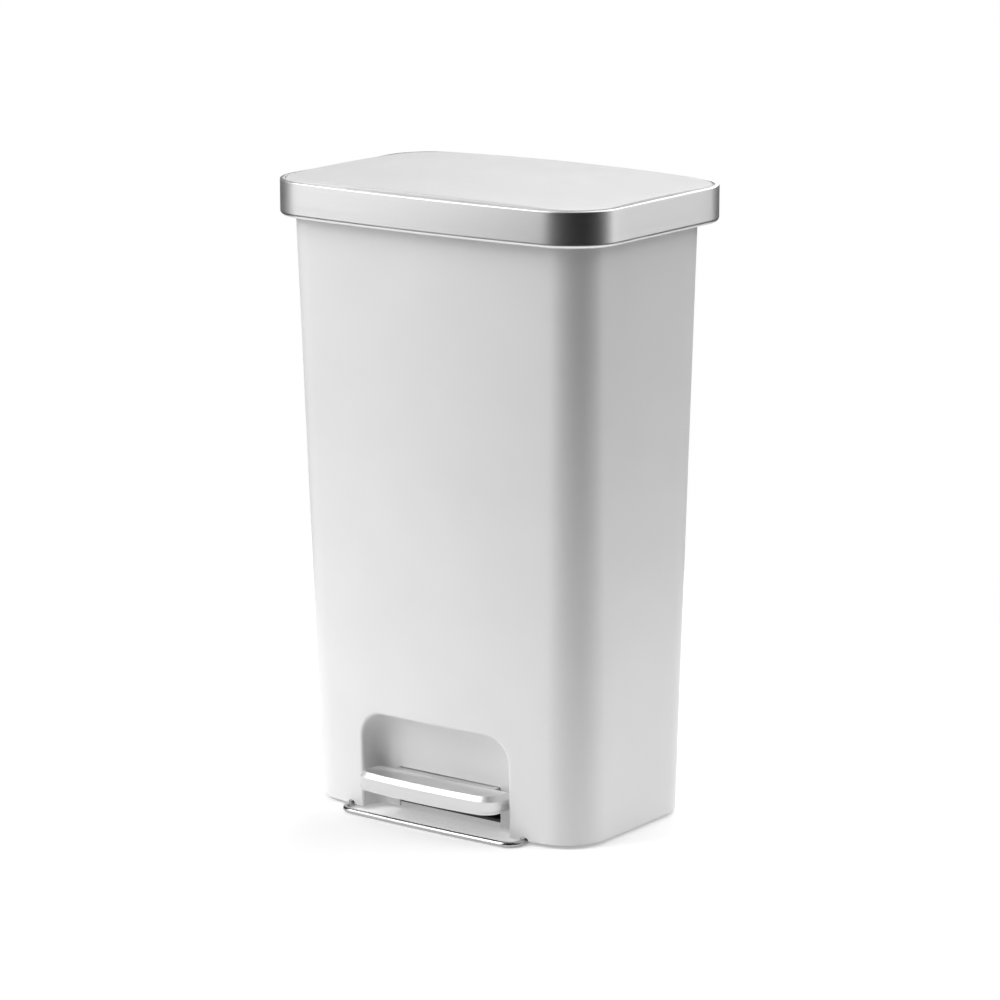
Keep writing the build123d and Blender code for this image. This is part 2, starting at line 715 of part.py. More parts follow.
with BuildPart() as lid_band:
    prism(lid, lid_low, lid_high)
    fillet(lid_band.faces().sort_by(Axis.Z)[0].edges(), band_edge)
    fillet(lid_band.faces().sort_by(Axis.Z)[-1].edges(), band_top_edge)
    with BuildPart(mode=Mode.PRIVATE) as hollow:
        prism(inset(lid, band_sheet), lid_low + band_sheet, lid_high - band_sheet)
        fillet(hollow.faces().sort_by(Axis.Z)[0].edges(), band_edge - band_sheet)
    add(hollow.part, mode=Mode.SUBTRACT)
    prism(inset(lid, band_curl), lid_low - over, lid_low + 2 * band_edge, Mode.SUBTRACT)
    prism(inset(lid, band_lip), lid_high - 2 * band_edge, lid_high + over, Mode.SUBTRACT)
    rear_low = (-rear_half, rear_half, lid_low - over)
    box_between(rear_low, (rear_half, beyond_lid, lid_high + over), Mode.SUBTRACT)
keep(lid_band.part, "lid_band")


slab_depth = 60.0               # the crowned slab reaches this far below the panel


def crowned(outline, low, drop):
    """A plan outline extruded from a flat underside up to the crown, lowered by a step."""
    crown = crown_height - drop
    ring = Axis((0, 0, crown - crown_radius_y), (1, 0, 0))
    half = lid[0] / 2 + 2 * wall
    slab_low = low - slab_depth
    edge_z = crown - half**2 / (2 * crown_radius_x)
    with BuildPart() as slab:
        with BuildSketch(Plane.XZ) as profile:
            with BuildLine():
                arch = ThreePointArc((-half, edge_z), (0, crown), (half, edge_z))
                Polyline(arch @ 1, (half, slab_low), (-half, slab_low), arch @ 0)
            make_face()
        revolve(profile.sketch, ring, 2 * crown_swing)
    dome = slab.part.rotate(ring, -crown_swing)
    with BuildPart() as form:
        prism(outline, low, crown_height + over)
        add(dome, mode=Mode.INTERSECT)
    return form.part


panel_outline = inset(lid, band_lip + panel_gap)
panel_outline = panel_outline[:2] + (panel_back,) + panel_outline[3:]
with BuildPart() as lid_panel:
    add(crowned(panel_outline, lid_liner_high, 0.0))
    fillet(lid_panel.faces().sort_by(Axis.Z)[-1].edges(), panel_shoulder)
    prism(lid_inner, lid_liner_high, flange_top)
    hollow_outline = inset(panel_outline, panel_wall)
    add(crowned(hollow_outline, lid_liner_high - over, panel_wall), mode=Mode.SUBTRACT)
keep(lid_panel.part, "lid_panel")

lid_screw_head_height = 1.0
lid_screw_places = [(x, y) for x in (-160.0, 0.0, 160.0) for y in (-108.0, 60.0)]
with BuildPart() as lid_liner:
    prism(lid_inner, lid_liner_low, lid_liner_high)
    fillet(lid_liner.edges().group_by(Axis.Z)[0], lid_screw_head_height)
    for x, y in lid_screw_places:
        post(x, y, lid_liner_low - over, lid_liner_high + over, screw_radius, Mode.SUBTRACT)
keep(lid_liner.part, "lid_liner")

with BuildPart() as lid_screws:
    for x, y in lid_screw_places:
        post(x, y, lid_liner_low - lid_screw_head_height, lid_liner_low, screw_head)
        post(x, y, lid_liner_low, lid_liner_high, screw_radius)
keep(lid_screws.part, "lid_screws")

# ---------- Rear cover of the lid and its slide lock ----------
cover_top = 650.8
cover_wall = 3.4
knob_left = 80.0
knob_right = 110.0
knob_travel = 7.0
knob_depth = 2.2
knob_rise = 0.2                 # the knob stands off the pocket by this much
pocket_low = 634.0
cover_front = 131.8
cover_top_edge = 2.0
cover_low_edge = 1.2
stem_half = 3.0
stem_low = 637.0
stem_high = 640.8
hook_front = 116.6
hook_back = 120.0
hook_low = 629.0

knob_low_x = knob_left + knob_travel + gap
knob_high_x = knob_right - gap
stem_x = 95.0
slot_front_y = 130.0
rear_outline = lid[:2] + (lid_back,) + lid[3:]

with BuildPart() as lid_rear_cover:
    prism(rear_outline, lid_low, cover_top)
    fillet(lid_rear_cover.edges().group_by(Axis.Z)[-1], cover_top_edge)
    fillet(lid_rear_cover.edges().group_by(Axis.Z)[0], cover_low_edge)
    lid_width, lid_front = lid[:2]
    ahead = (-lid_width, lid_front - over, lid_low - over)
    box_between(ahead, (lid_width, cover_front, cover_top + over), Mode.SUBTRACT)
    for side in (-1, 1):
        inner, outer = sorted((side * (rear_half - rear_gap), side * lid_width))
        box_between((inner, 0.0, lid_low - over), (outer, beyond_lid, cover_top + over), Mode.SUBTRACT)
    under = (-lid_width, 0.0, lid_low - over)
    box_between(under, (lid_width, lid_back - cover_wall, flange_top + 0.1), Mode.SUBTRACT)
    pocket = (knob_left, lid_back - knob_depth, pocket_low)
    box_between(pocket, (knob_right, beyond_lid, cover_top + over), Mode.SUBTRACT)
    stem_slot_low = (stem_x - stem_half - knob_travel - gap, slot_front_y, stem_low - gap)
    box_between(stem_slot_low, (stem_x + stem_half + gap, beyond_lid, stem_high + gap), Mode.SUBTRACT)
keep(lid_rear_cover.part, "lid_rear_cover")

knob_edge = 0.6
groove_pitch = 3.2
groove_half = 0.5
groove_low = 638.0
groove_high = 647.0

with BuildPart() as lock_slider:
    knob_front = lid_back - knob_depth + knob_rise
    knob_corner = (knob_low_x, knob_front, pocket_low + gap)
    box_between(knob_corner, (knob_high_x, lid_back - knob_rise / 2, cover_top - rear_gap))
    chamfer(lock_slider.edges().group_by(Axis.Y)[-1], knob_edge)
    for step in range(-2, 3):
        groove_x = (knob_low_x + knob_high_x) / 2 + groove_pitch * step
        groove = (groove_x - groove_half, lid_back - knob_edge, groove_low)
        box_between(groove, (groove_x + groove_half, lid_back + over, groove_high), Mode.SUBTRACT)
    stem_back = (stem_x + stem_half, knob_front + knob_rise, stem_high)
    box_between((stem_x - stem_half, hook_front, stem_low), stem_back)
    box_between((stem_x - stem_half, hook_front, hook_low), (stem_x + stem_half, hook_back, stem_high))
keep(lock_slider.part, "lock_slider")

catch_left = 85.2
catch_right = 90.0
catch_plate_right = 100.0
catch_plate_low = 600.0
catch_front = 112.0
catch_back = 124.0
catch_low = 619.5
catch_shelf = 626.5
catch_high = 636.0
catch_lip = hook_back + 0.6     # the hook swings down in front of this lip

with BuildPart() as lock_catch:
    catch = [
        (catch_front, catch_low),
        (catch_back, catch_low + rim_edge),
        (catch_back, catch_high),
        (catch_lip, catch_high),
        (catch_lip, catch_shelf),
        (catch_front, catch_shelf),
    ]
    side_plate(catch, catch_left, catch_right)
    catch_plate = (catch_left, catch_front, catch_plate_low)
    box_between(catch_plate, (catch_plate_right, hinge_back, catch_shelf))
    tapered_prism(floor_z, body_top + over, 0.0, Mode.SUBTRACT)
    prism(flange, flange_z, body_top + over, Mode.SUBTRACT)
keep(lock_catch.part, "lock_catch")

# ---------- Lid side of the hinges, and the crank ----------
seat_low = 639.4
seat_front = 117.0
seat_back = 132.5
cheek_back = seat_back - over
cheek_top = seat_low + 0.6
cheek_low = hinge_z - over
for side, name in ((-1, "lid_hinge_left"), (1, "lid_hinge_right")):
    x = side * hinge_x
    reach = lug_half + lug_gap + lug_sheet
    with BuildPart() as lid_hinge:
        box_between((x - reach, seat_front, seat_low), (x + reach, seat_back, lid_liner_low))
        for hand in (-1, 1):
            near, far = sorted((x + hand * (lug_half + lug_gap), x + hand * reach))
            cheek = [
                (seat_front + 1.5, cheek_top),
                (hinge_y - hinge_boss + 0.5, cheek_low),
                (hinge_y + hinge_boss - 1.5, cheek_low),
                (cheek_back, cheek_top),
            ]
            side_plate(cheek, near, far)
            cross_bar(hinge_y, hinge_z, near, far, hinge_boss)
        bore = hinge_pin_radius + running
        cross_bar(hinge_y, hinge_z, x - 2 * reach, x + 2 * reach, bore, Mode.SUBTRACT)
    keep(lid_hinge.part, name)

crank_seat_half = 8.0
cheek_inner = 3.0
cheek_outer = 6.0
crank_boss = 5.5
boss_wide = 4.6                 # the arm's edges run into the boss at these steps from its middle
boss_near = 3.0
crank_side = [
    (seat_front + 2.0, seat_low + over),
    (crank_y - boss_wide, crank_z + boss_near),
    (crank_y + boss_near, crank_z - boss_wide),
    (cheek_back, hinge_z + 2.0),
    (cheek_back, seat_low + over),
]
with BuildPart() as lid_crank:
    crank_seat = (-crank_seat_half, seat_front, seat_low)
    box_between(crank_seat, (crank_seat_half, seat_back, lid_liner_low))
    for near, far in ((-cheek_outer, -cheek_inner), (cheek_inner, cheek_outer)):
        side_plate(crank_side, near, far)
        cross_bar(crank_y, crank_z, near, far, crank_boss)
    cross_bar(crank_y, crank_z, -crank_seat_half, crank_seat_half, pin_radius, Mode.SUBTRACT)
keep(lid_crank.part, "lid_crank")

with BuildPart() as crank_pin:
    cross_bar(crank_y, crank_z, -cheek_outer - pin_end, cheek_outer + pin_end, pin_radius)
keep(crank_pin.part, "crank_pin")
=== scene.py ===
import json
import math

import bmesh
import bpy
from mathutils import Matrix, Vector


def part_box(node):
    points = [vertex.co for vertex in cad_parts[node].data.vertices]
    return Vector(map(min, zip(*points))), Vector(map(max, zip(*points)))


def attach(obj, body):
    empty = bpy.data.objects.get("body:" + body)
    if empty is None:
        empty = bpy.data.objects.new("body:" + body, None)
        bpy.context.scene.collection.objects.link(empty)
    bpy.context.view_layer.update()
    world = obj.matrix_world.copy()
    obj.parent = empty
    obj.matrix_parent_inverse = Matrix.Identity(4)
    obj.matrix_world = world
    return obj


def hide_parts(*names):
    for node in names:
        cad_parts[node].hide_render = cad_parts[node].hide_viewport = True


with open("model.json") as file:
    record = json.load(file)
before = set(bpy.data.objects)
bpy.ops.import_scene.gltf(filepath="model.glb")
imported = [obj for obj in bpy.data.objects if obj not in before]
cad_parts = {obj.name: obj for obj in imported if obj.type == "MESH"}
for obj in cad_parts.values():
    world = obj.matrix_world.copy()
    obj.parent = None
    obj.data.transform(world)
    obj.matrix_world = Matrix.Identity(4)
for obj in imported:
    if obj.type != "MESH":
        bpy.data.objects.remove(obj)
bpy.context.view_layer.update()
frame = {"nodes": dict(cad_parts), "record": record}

MM = 0.001
WELD = 1e-6
CLOSE_POINTS = 1e-7

# ---------- Sizes (mm), read from the frame where a node gives them ----------


def node_low(name):
    """Lowest corner of a CAD node, in mm."""
    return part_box(name)[0] / MM


def node_high(name):
    """Highest corner of a CAD node, in mm."""
    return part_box(name)[1] / MM


# A plan outline is (width, front y, back y, front radius, back radius, bow of the front).
BODY_LOW = (348.0, -110.4, 104.9, 48.0, 46.0, 10.0)
BODY_HIGH = (372.0, -122.5, 112.8, 40.0, 40.0, 6.0)
BODY_LOW_Z = node_low("body_shell").z
BODY_HIGH_Z = 612.0
BODY_TOP = node_high("body_shell").z
WALL = 2.8
FLANGE = (392.0, -132.5, 113.3, 50.0, 50.0, 6.0)
FLANGE_Z = 620.0
FLANGE_ROW = 6.0          # height of the row that keeps the flange's foot crisp
FLOOR_Z = 58.0

LID_LOW = node_low("lid_band").z
LID_HIGH = node_high("lid_band").z
LID = (404.0, node_low("lid_band").y, node_high("lid_band").y, 56.0, 54.0, 6.0)
LID_INNER = (400.4, -136.7, 134.2, 54.2, 52.0, 6.0)
REAR_HALF = 112.0
BAND_SHEET = 1.0
BAND_LIP = 4.6
BAND_CURL = 5.5
BAND_EDGE = 4.5
BAND_TOP_EDGE = 1.2
BAND_LIP_EDGE = 0.4
BAND_INNER_EDGE = 0.3
PANEL_GAP = 1.2
PANEL_BACK = 131.4
PANEL_SHOULDER = 2.6
PANEL_SHELF = 1.4         # from the band's top down to the shelf under its lip
CROWN_HEIGHT = node_high("lid_panel").z
CROWN_RADIUS_X = 4130.0
CROWN_RADIUS_Y = 3250.0

RECESS_HALF = 92.0
RECESS_TOP = 107.0
RECESS_BACK = -81.0
RECESS_CORNER = 27.0
RECESS_FILLET = 18.0
RECESS_LIP = 4.0
SLOT_HALF = 64.5
SLOT_TOP = 46.5
SLOT_CORNER = 1.5

WIRE_RADIUS = 3.0
WIRE_LEG_X = 110.0
WIRE_FRONT = (2 * WIRE_LEG_X, -124.7, 15.0, 1.7)
WIRE_LEG_END = -40.0
WIRE_LEG_TOP = node_high("anti_tip_bar").z
WIRE_BEND = 5.0
NOTCH_RADIUS = 5.0
NOTCH_FRONT = -125.0
NOTCH_LENGTH = 40.0
CRANK_GAP_HALF = 16.0
CRANK_GAP_FRONT = 97.0
CRANK_GAP_BACK = 120.0
CRANK_GAP_LOW = 596.0
OVER = 1.0                # how far a cutter stands past the face it cuts


# ---------- Mesh helpers ----------
def inset(outline, step):
    """A plan outline moved inwards."""
    width, front, back, front_radius, back_radius, bow = outline
    radii = (front_radius - step, back_radius - step)
    return (width - 2 * step, front + step, back - step, *radii, bow)


def mix(low, high, share):
    return tuple(a + share * (b - a) for a, b in zip(low, high))


def spread(start, end, steps):
    """Evenly spaced numbers from start to end, both included."""
    return [start + (end - start) * i / steps for i in range(steps + 1)]


def body_outline(z):
    """The tapered body's plan outline at a height."""
    return mix(BODY_LOW, BODY_HIGH, (z - BODY_LOW_Z) / (BODY_HIGH_Z - BODY_LOW_Z))


def bow_radius(outline):
    """Radius of the bowed front, and where its tangent corner begins."""
    width, _, _, front_radius, _, bow = outline
    reach = width / 2 - front_radius
    inner = (reach**2 + bow**2) / (2 * bow)
    return inner + front_radius, reach * (inner + front_radius) / inner


def front_y(outline, x):
    """Y of the bowed front at a given x."""
    radius, _ = bow_radius(outline)
    return outline[1] + radius - math.sqrt(radius**2 - x**2)


FRONT_HALF = 105.0        # the part of the front that has evenly spaced columns
FRONT_SHARE = 0.8         # the most of the bowed front that this part may take
FRONT_STEPS = 16
TO_CORNER_STEPS = 4
CORNER_STEPS = 16
SIDE_STEPS = 10
REAR_STEPS = 14


def arc(cx, cy, radius, start, end, steps):
    """Points on an arc, the first one left out. Angles in degrees."""
    points = []
    for i in range(1, steps + 1):
        angle = math.radians(start + (end - start) * i / steps)
        points.append((cx + radius * math.cos(angle), cy + radius * math.sin(angle)))
    return points


def half_ring(outline, front_half=FRONT_HALF):
    """Right half of a plan outline, from the middle of the front to the middle of the back."""
    width, front, back, front_radius, back_radius, bow = outline
    half = width / 2
    radius, tangent_x = bow_radius(outline)
    front_half = min(front_half, FRONT_SHARE * tangent_x)
    xs = spread(0, front_half, FRONT_STEPS)
    xs += spread(front_half, tangent_x, TO_CORNER_STEPS)[1:]
    points = [(x, front_y(outline, x)) for x in xs]
    start = -90 + math.degrees(math.asin(tangent_x / radius))
    corner_y = front + bow + front_radius
    points += arc(half - front_radius, corner_y, front_radius, start, 0, CORNER_STEPS)
    side_end = back - back_radius
    points += [(half, y) for y in spread(corner_y, side_end, SIDE_STEPS)[1:]]
    points += arc(half - back_radius, side_end, back_radius, 0, 90, CORNER_STEPS)
    rear = half - back_radius
    points += [(rear * (1 - i / REAR_STEPS), back) for i in range(1, REAR_STEPS + 1)]
    return points


def ring(outline, front_half=FRONT_HALF):
    """A whole plan outline, closed, starting at the middle of the front."""
    right = half_ring(outline, front_half)
    left = [(-x, y) for x, y in right[-2:0:-1]]
    return right + left


def at_height(points, z):
    """Lift plan points to a height, given as a number or as a function of x and y."""
    return [Vector((x, y, z(x, y) if callable(z) else z)) for x, y in points]


def add_grid(bm, rows, closed=False):
    """Join rows of points with quads. Closed rows meet their own start."""
    verts = [[bm.verts.new(point * MM) for point in row] for row in rows]
    count = len(rows[0])
    last = count if closed else count - 1
    for lower, upper in zip(verts, verts[1:]):
        for i in range(last):
            j = (i + 1) % count
            corners = [lower[i], lower[j], upper[j], upper[i]]
            distinct = []
            for corner in corners:
                if all((corner.co - other.co).length > CLOSE_POINTS for other in distinct):
                    distinct.append(corner)
            if len(distinct) > 2:
                bm.faces.new(distinct)
    return verts


def add_object(bm, name):
    """Put a mesh into the scene as an object."""
    mesh = bpy.data.meshes.new(name)
    bm.to_mesh(mesh)
    bm.free()
    made = bpy.data.objects.new(name, mesh)
    bpy.context.scene.collection.objects.link(made)
    return made


def finish_mesh(bm, name, body, slot, *nodes):
    """Weld, orient and smooth a mesh, and let it stand for CAD nodes on a body."""
    bmesh.ops.remove_doubles(bm, verts=bm.verts, dist=WELD)
    bmesh.ops.recalc_face_normals(bm, faces=bm.faces)
    for face in bm.faces:
        face.smooth = True
    piece = add_object(bm, name)
    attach(piece, body)
    if nodes:
        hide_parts(*nodes)
    return piece


def add_bevel(piece, width, segments, angle):
    """Round the edges that are sharper than an angle in degrees."""
    bevel = piece.modifiers.new("bevel", "BEVEL")
    bevel.width = width * MM
    bevel.segments = segments
    bevel.limit_method = "ANGLE"
    bevel.angle_limit = math.radians(angle)
    bevel.harden_normals = True


def cut_with(piece, bm, name):
    """Cut a mesh out of a piece, and apply the cut."""
    bmesh.ops.recalc_face_normals(bm, faces=bm.faces)
    cutter = add_object(bm, name)
    boolean = piece.modifiers.new("cut", "BOOLEAN")
    boolean.object = cutter
    boolean.solver = "EXACT"
    boolean.use_self = True
    apply_modifiers(piece)
    bpy.data.objects.remove(cutter)


def apply_modifiers(piece):
    """Replace a piece's mesh by what its modifiers make of it."""
    depsgraph = bpy.context.evaluated_depsgraph_get()
    evaluated = piece.evaluated_get(depsgraph)
    mesh = bpy.data.meshes.new_from_object(evaluated, depsgraph=depsgraph)
    piece.modifiers.clear()
    piece.data = mesh


# ---------- Body ----------
SIDE_POINTS = 10
CORNER_POINTS = 8
TOP_POINTS = 24
FRAME_TOP = 150.0
FRAME_RISE = SIDE_POINTS + CORNER_POINTS // 2
FRAME_LAYERS = 6
LIP_STEPS = 6
FILLET_STEPS = 9
BACK_SHARES = (0.33, 0.66, 1.0)
HALVES = (0.5, 1.0)
WALL_STEPS = 24


def arch(half, top, corner):
    """An arch of (x, z) points from its lower left end over the top to its lower right end."""
    corner_z = top - corner
    corner_x = half - corner
    left = [(-half, z) for z in spread(BODY_LOW_Z, corner_z, SIDE_POINTS)]
    left += arc(-corner_x, corner_z, corner, 180, 90, CORNER_POINTS)
    across = [(-corner_x + 2 * corner_x * i / TOP_POINTS, top) for i in range(1, TOP_POINTS)]
    right = [(-x, z) for x, z in reversed(left)]
    return left + across + right


def recess_arch(grow):
    """The recess's arch, grown outwards by a distance."""
    return arch(RECESS_HALF + grow, RECESS_TOP + grow, RECESS_CORNER + grow)


def frame_arch():
    """A square arch on the body's own grid, with as many points as the recess's arch."""
    left = [(-FRONT_HALF, z) for z in spread(BODY_LOW_Z, FRAME_TOP, FRAME_RISE)]
    across_xs = spread(-FRONT_HALF, FRONT_HALF, TOP_POINTS + CORNER_POINTS)[1:-1]
    across = [(x, FRAME_TOP) for x in across_xs]
    return left + across + [(-x, z) for x, z in reversed(left)]


def on_front(points, depth=0.0):
    """Put (x, z) points on the body's front, or a depth behind it."""
    return [Vector((x, front_y(body_outline(z), x) + depth, z)) for x, z in points]


def recess_rows():
    """Rows that run from the body's front over the lip, round the recess and to the slot."""
    frame_points = frame_arch()
    lip_points = recess_arch(RECESS_LIP)
    rows = []
    for layer in range(FRAME_LAYERS + 1):
        share = layer / FRAME_LAYERS
        rows.append(on_front(between(frame_points, lip_points, share)))
    for i in range(1, LIP_STEPS + 1):
        angle = math.radians(90 * i / LIP_STEPS)
        grow = RECESS_LIP * (1 - math.sin(angle))
        rows.append(on_front(recess_arch(grow), RECESS_LIP * (1 - math.cos(angle))))
    for i in range(FILLET_STEPS + 1):
        angle = math.radians(90 * i / FILLET_STEPS)
        y = RECESS_BACK - RECESS_FILLET * (1 - math.sin(angle))
        points = recess_arch(-RECESS_FILLET * (1 - math.cos(angle)))
        rows.append([Vector((x, y, z)) for x, z in points])
    last = recess_arch(-RECESS_FILLET)
    slot_points = arch(SLOT_HALF, SLOT_TOP, SLOT_CORNER)
    for share in BACK_SHARES:
        rows.append([Vector((x, RECESS_BACK, z)) for x, z in between(last, slot_points, share)])
    return rows


def between(first, second, share):
    """Points a share of the way from the first ring to the second."""
    return [mix(a, b, share) for a, b in zip(first, second)]


def build_body():
    """The body moulding: walls, flange and recess, as one sheet given its thickness."""
    bm = bmesh.new()
    sides = []
    for z in spread(BODY_LOW_Z, FRAME_TOP, FRAME_RISE):
        points = at_height(ring(body_outline(z)), z)
        sides.append(points[FRONT_STEPS:len(points) - FRONT_STEPS + 1])
    add_grid(bm, sides)
    wall_zs = spread(FRAME_TOP, FLANGE_Z, WALL_STEPS)
    walls = [at_height(ring(body_outline(z)), z) for z in wall_zs]
    wall_top = ring(body_outline(FLANGE_Z))
    flange_ring = ring(FLANGE)
    inner_top = ring(inset(body_outline(BODY_TOP), WALL))
    for share in HALVES:
        walls.append(at_height(between(wall_top, flange_ring, share), FLANGE_Z))
    for z in (FLANGE_Z + FLANGE_ROW, BODY_TOP):
        walls.append(at_height(flange_ring, z))
    for share in HALVES:
        walls.append(at_height(between(flange_ring, inner_top, share), BODY_TOP))
    add_grid(bm, walls, closed=True)
    add_grid(bm, recess_rows())
    body = finish_mesh(bm, "body_moulding", "body", "white_plastic", "body_shell")
    solid = body.modifiers.new("wall", "SOLIDIFY")
    solid.thickness = WALL * MM
    solid.offset = -1
    solid.use_even_offset = True
    apply_modifiers(body)
    return body


def plate(bm, points, low, high):
    """A flat plate with the given plan outline."""
    bottom = [bm.verts.new(point * MM) for point in at_height(points, low)]
    top = [bm.verts.new(point * MM) for point in at_height(points, high)]
    bm.faces.new(reversed(bottom))
    bm.faces.new(top)
    for i in range(len(points)):
        j = (i + 1) % len(points)
        bm.faces.new([bottom[i], bottom[j], top[j], top[i]])


def box_into(bm, low, high):
    """A box between two corners."""
    (left, front, under), (right, back, top) = low, high
    plate(bm, [(left, front), (right, front), (right, back), (left, back)], under, top)


STEEP = 0.9               # above this a tube runs too steeply to take its sides from Z


def tube_rows(path, radius, sides):
    """Rings round a path of points, kept square to it."""
    rows = []
    for i, point in enumerate(path):
        ahead = path[min(i + 1, len(path) - 1)] - path[max(i - 1, 0)]
        direction = ahead.normalized()
        aside = Vector((0, 0, 1)) if abs(direction.z) < STEEP else Vector((1, 0, 0))
        across = direction.cross(aside).normalized()
        rise = across.cross(direction)
        angles = [2 * math.pi * k / sides for k in range(sides)]
        rows.append([point + radius * (math.cos(a) * across + math.sin(a) * rise) for a in angles])
    return rows


def cap(bm, row):
    """Close a row of points with one face."""
    bm.faces.new([bm.verts.new(point * MM) for point in row])


def build_tube(bm, path, radius, sides):
    rows = tube_rows(path, radius, sides)
    add_grid(bm, rows, closed=True)
    cap(bm, rows[0])
    cap(bm, rows[-1])


body = build_body()
notches = bmesh.new()
for side in (-1, 1):
    start = Vector((side * WIRE_LEG_X, NOTCH_FRONT, WIRE_RADIUS))
    build_tube(notches, [start, start + Vector((0, NOTCH_LENGTH, 0))], NOTCH_RADIUS, 32)
box_into(
    notches,
    (-CRANK_GAP_HALF, CRANK_GAP_FRONT, CRANK_GAP_LOW),
    (CRANK_GAP_HALF, CRANK_GAP_BACK, BODY_TOP + OVER),
)
bmesh.ops.remove_doubles(notches, verts=notches.verts, dist=WELD)
cut_with(body, notches, "body_notches")
add_bevel(body, 0.6, 2, 50)


def build_floor():
    """The inner floor, which runs round the back of the recess."""
    bm = bmesh.new()
    outer = ring(inset(body_outline(FLOOR_Z), WALL / 2))
    half = RECESS_HALF + WALL / 2
    back = RECESS_BACK + WALL / 2
    corner = RECESS_FILLET + WALL / 2
    kept = [point for point in outer if abs(point[0]) > half or point[1] > 0]
    start = min(range(len(kept)), key=lambda i: (kept[i][0] < 0, kept[i][1], kept[i][0]))
    kept = kept[start:] + kept[:start]
    around = [(-half, kept[-1][1]), (-half, back - corner)]
    around += arc(-half + corner, back - corner, corner, 180, 90, CORNER_POINTS)
    around += [(-x, y) for x, y in reversed(around)]
    plate(bm, kept + around, FLOOR_Z, FLOOR_Z + WALL)
    return finish_mesh(bm, "inner_floor", "body", "white_plastic")


floor_piece = build_floor()
add_bevel(floor_piece, 0.3, 1, 50)


# ---------- Lid ----------
def band_profile():
    """Closed section of the steel band, as (step inwards, height)."""
    sheet, low, top = BAND_SHEET, LID_LOW, LID_HIGH
    middle = (low + top) / 2
    outer, lip, inner = BAND_TOP_EDGE, BAND_LIP_EDGE, BAND_INNER_EDGE
    points = arc(BAND_EDGE, low + BAND_EDGE, BAND_EDGE, 270, 180, 10)
    points += [(0.0, low + BAND_EDGE + lip), (0.0, middle), (0.0, top - outer - lip)]
    points += [(0.0, top - outer)] + arc(outer, top - outer, outer, 180, 90, 5)
    points += [(BAND_LIP - lip, top)] + arc(BAND_LIP - lip, top - lip, lip, 90, 0, 3)
    points += [(BAND_LIP, top - sheet), (sheet + inner, top - sheet)]
    points += [(sheet, top - sheet - inner), (sheet, middle), (sheet, low + BAND_EDGE)]
    points += arc(BAND_EDGE, low + BAND_EDGE, BAND_EDGE - sheet, 180, 270, 10)
    points += [(BAND_CURL, low + sheet), (BAND_CURL, low)]
    return points


BAND_FRONT_HALF = 150.0   # as FRONT_HALF, for the band
NEAR_BACK = 100.0         # beyond this y a point is on the band's rear side
GAP_MARGIN = 1.0


def band_path(step):
    """The band's plan at a step inwards, from the right end of the rear gap to the left end."""
    points = half_ring(inset(LID, step), BAND_FRONT_HALF)
    right = [(x, y) for x, y in points if y <= NEAR_BACK or x >= REAR_HALF + GAP_MARGIN]
    right.append((REAR_HALF, LID[2] - step))
    return [(-x, y) for x, y in reversed(right[1:])] + right


def build_band():
    """The steel band round the lid, open where the rear cover sits."""
    bm = bmesh.new()
    rows = [at_height(band_path(step), z) for step, z in band_profile()]
    rows.append(rows[0])
    add_grid(bm, rows)
    cap(bm, [row[0] for row in rows[:-1]])
    cap(bm, [row[-1] for row in rows[:-1]])
    return finish_mesh(bm, "lid_band_steel", "lid", "brushed_steel", "lid_band")


PANEL_RINGS = 26
SHOULDER_STEPS = 8


def crown(x, y):
    """Height of the crowned lid panel."""
    return CROWN_HEIGHT - x**2 / (2 * CROWN_RADIUS_X) - y**2 / (2 * CROWN_RADIUS_Y)


def build_panel():
    """The crowned lid panel, down to the lid's underside."""
    bm = bmesh.new()
    edge = inset(LID, BAND_LIP + PANEL_GAP)
    edge = edge[:2] + (PANEL_BACK,) + edge[3:]
    under = node_low("lid_panel").z
    shelf = LID_HIGH - PANEL_SHELF
    rows = [at_height(ring(LID_INNER), under), at_height(ring(LID_INNER), shelf)]
    rows.append(at_height(ring(edge), shelf))
    radius = PANEL_SHOULDER
    for i in range(SHOULDER_STEPS + 1):
        angle = math.radians(90 * i / SHOULDER_STEPS)
        rim = ring(inset(edge, radius * (1 - math.cos(angle))))
        drop = radius * (1 - math.sin(angle))
        rows.append([Vector((x, y, crown(x, y) - drop)) for x, y in rim])
    rim = ring(inset(edge, radius))
    for i in range(1, PANEL_RINGS):
        share = 1 - (i / PANEL_RINGS)
        rows.append(at_height([(x * share, y * share) for x, y in rim], crown))
    add_grid(bm, rows, closed=True)
    hub = rows[-1]
    centre = bm.verts.new(Vector((0, 0, crown(0, 0))) * MM)
    hub_verts = [bm.verts.new(point * MM) for point in hub]
    for i in range(len(hub)):
        bm.faces.new([hub_verts[i], hub_verts[(i + 1) % len(hub)], centre])
    cap(bm, list(reversed(rows[0])))
    return finish_mesh(bm, "lid_panel_moulding", "lid", "lid_plastic", "lid_panel")


band = build_band()
panel = build_panel()
add_bevel(band, 0.15, 1, 60)
add_bevel(panel, 0.25, 2, 50)


# ---------- Anti-tip wire ----------
WIRE_FRONT_STEPS = 20
WIRE_LEG_STEPS = 6
WIRE_SIDES = 24


